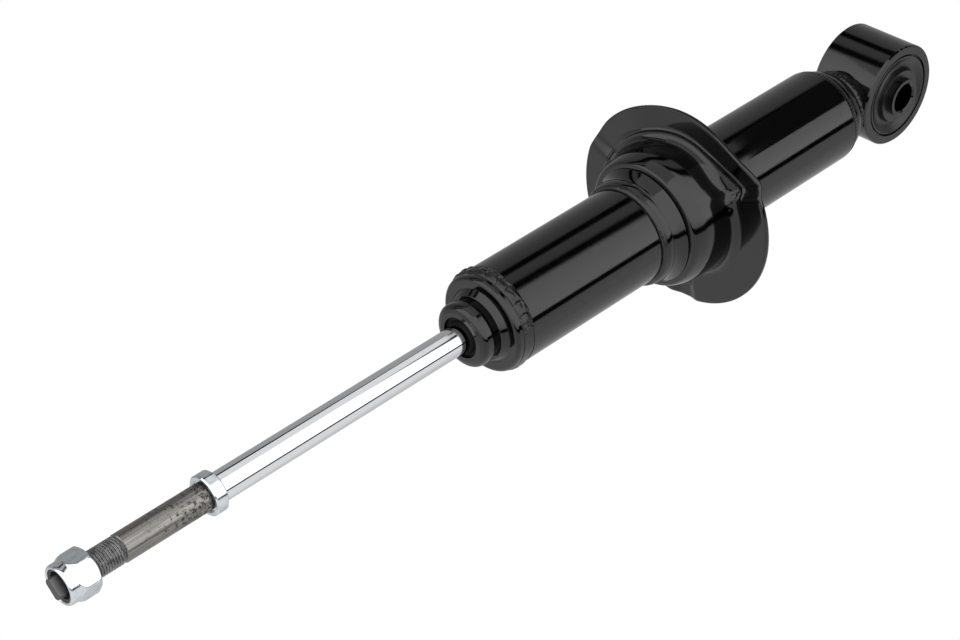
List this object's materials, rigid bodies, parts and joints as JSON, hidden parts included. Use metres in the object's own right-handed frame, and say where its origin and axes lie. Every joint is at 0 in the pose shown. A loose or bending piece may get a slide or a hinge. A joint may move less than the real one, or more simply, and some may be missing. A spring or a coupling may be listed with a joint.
{
  "type": "shock absorber",
  "caption": "Twin-tube shock absorber with a rubber-bushed lower eye, a stepped spring seat, a chromed sliding rod and a threaded stud with a stop collar and a lock nut.",
  "frame": {"origin": "centre of the bore through the lower eye's sleeve", "axes": "+Z along the rod, from the lower eye to the stud; +X along the lower eye's bore"},
  "size_m": [0.118, 0.1173, 0.6062],
  "materials": {
    "black_paint": "gloss",
    "black_weld": "gloss over rough weld",
    "rubber": "satin",
    "chrome": "polished",
    "zinc": "bright plated",
    "steel": "machined",
    "sintered_iron": "matt",
    "bronze": "machined",
    "plastic": "matt"
  },
  "bodies": {
    "damper_body": {"lower_eye": "black_paint", "eye_rubber_bush": "rubber", "base_cap": "black_paint", "base_weld": "black_weld", "eye_weld": "black_weld", "reserve_tube": "black_paint", "spring_seat": "black_paint", "seat_weld": "black_weld", "top_cap": "black_paint", "closing_weld": "black_weld", "dust_wiper": "rubber", "oil_seal": "rubber", "rod_guide": "sintered_iron", "guide_bush": "bronze", "guide_o_ring": "rubber", "pressure_tube": "steel", "foot_valve_body": "sintered_iron", "foot_valve_discs": "steel", "check_plate": "steel", "check_spring": "steel", "foot_valve_rivet": "steel"},
    "bush_sleeve": {"eye_inner_sleeve": "black_paint"},
    "band_carrier": {"piston_band": "plastic"},
    "rod": {"piston_rod": "chrome", "stud_collar": "zinc", "rebound_buffer": "rubber", "rebound_stop": "steel", "piston_support": "steel", "intake_plate": "steel", "piston": "sintered_iron", "rebound_discs": "steel", "disc_spacer": "steel", "piston_nut": "steel"},
    "top_nut": {"lock_nut": "zinc", "nut_insert": "plastic"}
  },
  "joints": [
    {"name": "rod_slide", "type": "slide", "parent": "damper_body", "child": "band_carrier", "axis": [0, 0, 1], "range_m": [-0.145, 0], "stiffness_N_per_m": 300, "springref_m": 0.4},
    {"name": "rod_spin", "type": "hinge", "parent": "band_carrier", "child": "rod", "pos_m": [0, 0, 0.4], "axis": [0, 0, 1], "continuous": true},
    {"name": "bush_twist", "type": "hinge", "parent": "damper_body", "child": "bush_sleeve", "pos_m": [0, 0, 0], "axis": [1, 0, 0], "range_deg": [-15, 15], "stiffness_Nm_per_rad": 50},
    {"name": "nut_travel", "type": "slide", "parent": "rod", "child": "top_nut", "axis": [0, 0, 1], "range_m": [0, 0.06]}
  ]
}
